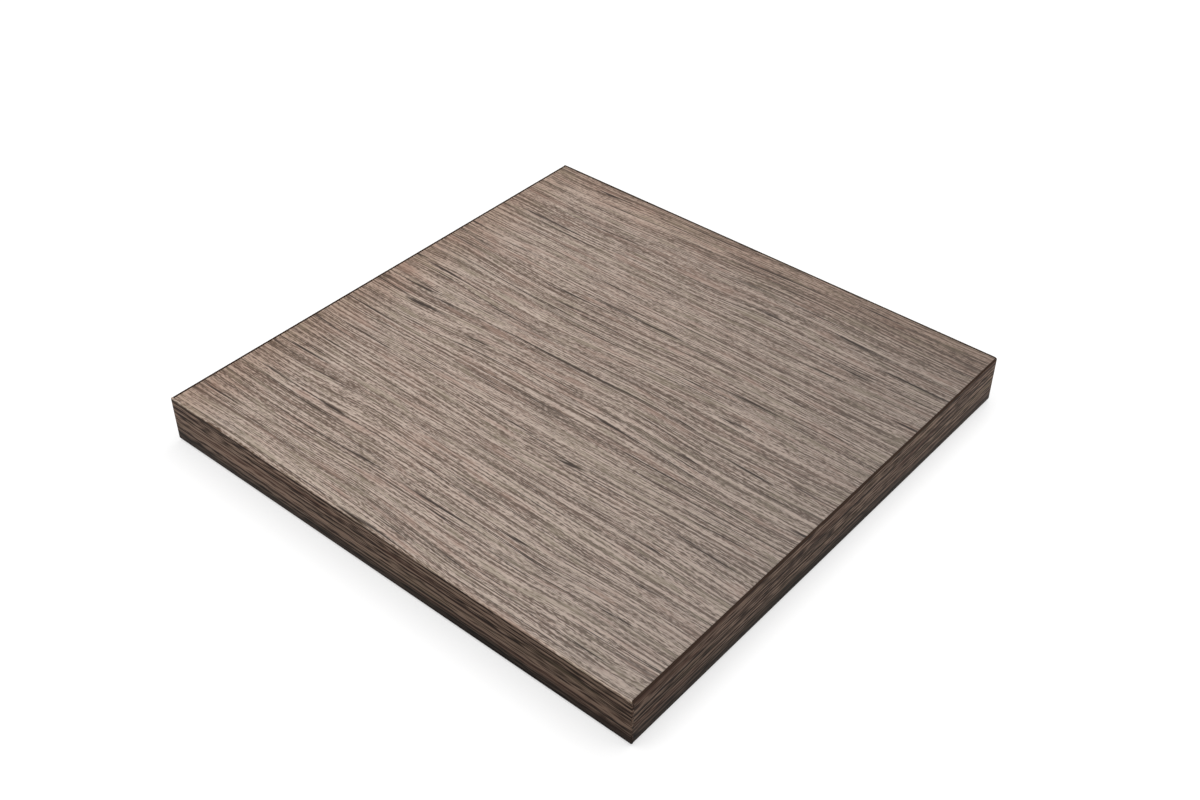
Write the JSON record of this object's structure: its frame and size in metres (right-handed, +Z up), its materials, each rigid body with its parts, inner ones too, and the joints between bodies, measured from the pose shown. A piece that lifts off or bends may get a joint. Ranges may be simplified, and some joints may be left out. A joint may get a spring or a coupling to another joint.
{
  "type": "wireless charging pad",
  "caption": "Square wood-decor board with a wireless charger hidden in a pocket below its top, rubber feet and a socket in its back edge.",
  "frame": {"origin": "middle of the plane that the four feet stand on", "axes": "+Z up out of the charging surface, +X along the grain of the top, +Y towards the back edge with the socket"},
  "size_m": [0.2, 0.2, 0.0183],
  "materials": {
    "top_decor": "matt decor laminate with a fine oak-like grain along X, warm grey-brown",
    "edge_decor": "matt edge band in the same decor, darker, grain along its length",
    "chipboard": "raw pressed chips, pale brown",
    "dark_plastic": "black moulded plastic with a fine spark-eroded texture",
    "rubber": "soft black rubber",
    "lead_sheath": "black flexible sheath",
    "zinc_steel": "zinc-plated, slightly dull",
    "black_steel": "blackened steel",
    "litz_copper": "enamelled copper strands",
    "ferrite": "sintered dark grey ferrite",
    "tape": "pale yellow adhesive film",
    "circuit_laminate": "green solder mask",
    "chip_plastic": "black moulding compound",
    "capacitor_ceramic": "tan ceramic body",
    "connector_plastic": "off-white nylon",
    "tinned_steel": "drawn and tinned sheet",
    "bead_glass": "dark glazed bead"
  },
  "bodies": {
    "root": {"base_cover": "dark_plastic", "board_screw_1": "zinc_steel", "board_screw_2": "zinc_steel", "board_screw_3": "zinc_steel", "bottom_laminate": "top_decor", "bridge_transistor_1": "chip_plastic", "bridge_transistor_2": "chip_plastic", "bridge_transistor_3": "chip_plastic", "bridge_transistor_4": "chip_plastic", "case_screw_1": "black_steel", "case_screw_2": "black_steel", "case_screw_3": "black_steel", "case_screw_4": "black_steel", "charging_coil": "litz_copper", "circuit_board": "circuit_laminate", "coil_tape": "tape", "controller_chip": "chip_plastic", "core_board": "chipboard", "cover_screw_1": "zinc_steel", "cover_screw_2": "zinc_steel", "cover_screw_3": "zinc_steel", "cover_screw_4": "zinc_steel", "cover_screw_5": "zinc_steel", "cover_screw_6": "zinc_steel", "crystal": "tinned_steel", "edge_band_back": "edge_decor", "edge_band_front": "edge_decor", "edge_band_left": "edge_decor", "edge_band_right": "edge_decor", "ferrite_shield": "ferrite", "inlet_bezel": "dark_plastic", "inlet_board": "circuit_laminate", "inlet_header": "connector_plastic", "inlet_plug": "connector_plastic", "inlet_screw_1": "black_steel", "inlet_screw_2": "black_steel", "input_capacitor_1": "capacitor_ceramic", "input_capacitor_2": "capacitor_ceramic", "internal_lead": "lead_sheath", "lead_grommet": "rubber", "lead_header": "connector_plastic", "lead_plug": "connector_plastic", "module_housing": "dark_plastic", "power_inductor": "ferrite", "resonant_capacitor_1": "capacitor_ceramic", "resonant_capacitor_2": "capacitor_ceramic", "resonant_capacitor_3": "capacitor_ceramic", "resonant_capacitor_4": "capacitor_ceramic", "rubber_foot_1": "rubber", "rubber_foot_2": "rubber", "rubber_foot_3": "rubber", "rubber_foot_4": "rubber", "thermistor": "bead_glass", "top_laminate": "top_decor", "usb_c_shell": "tinned_steel", "usb_c_tongue": "chip_plastic"}
  },
  "joints": []
}
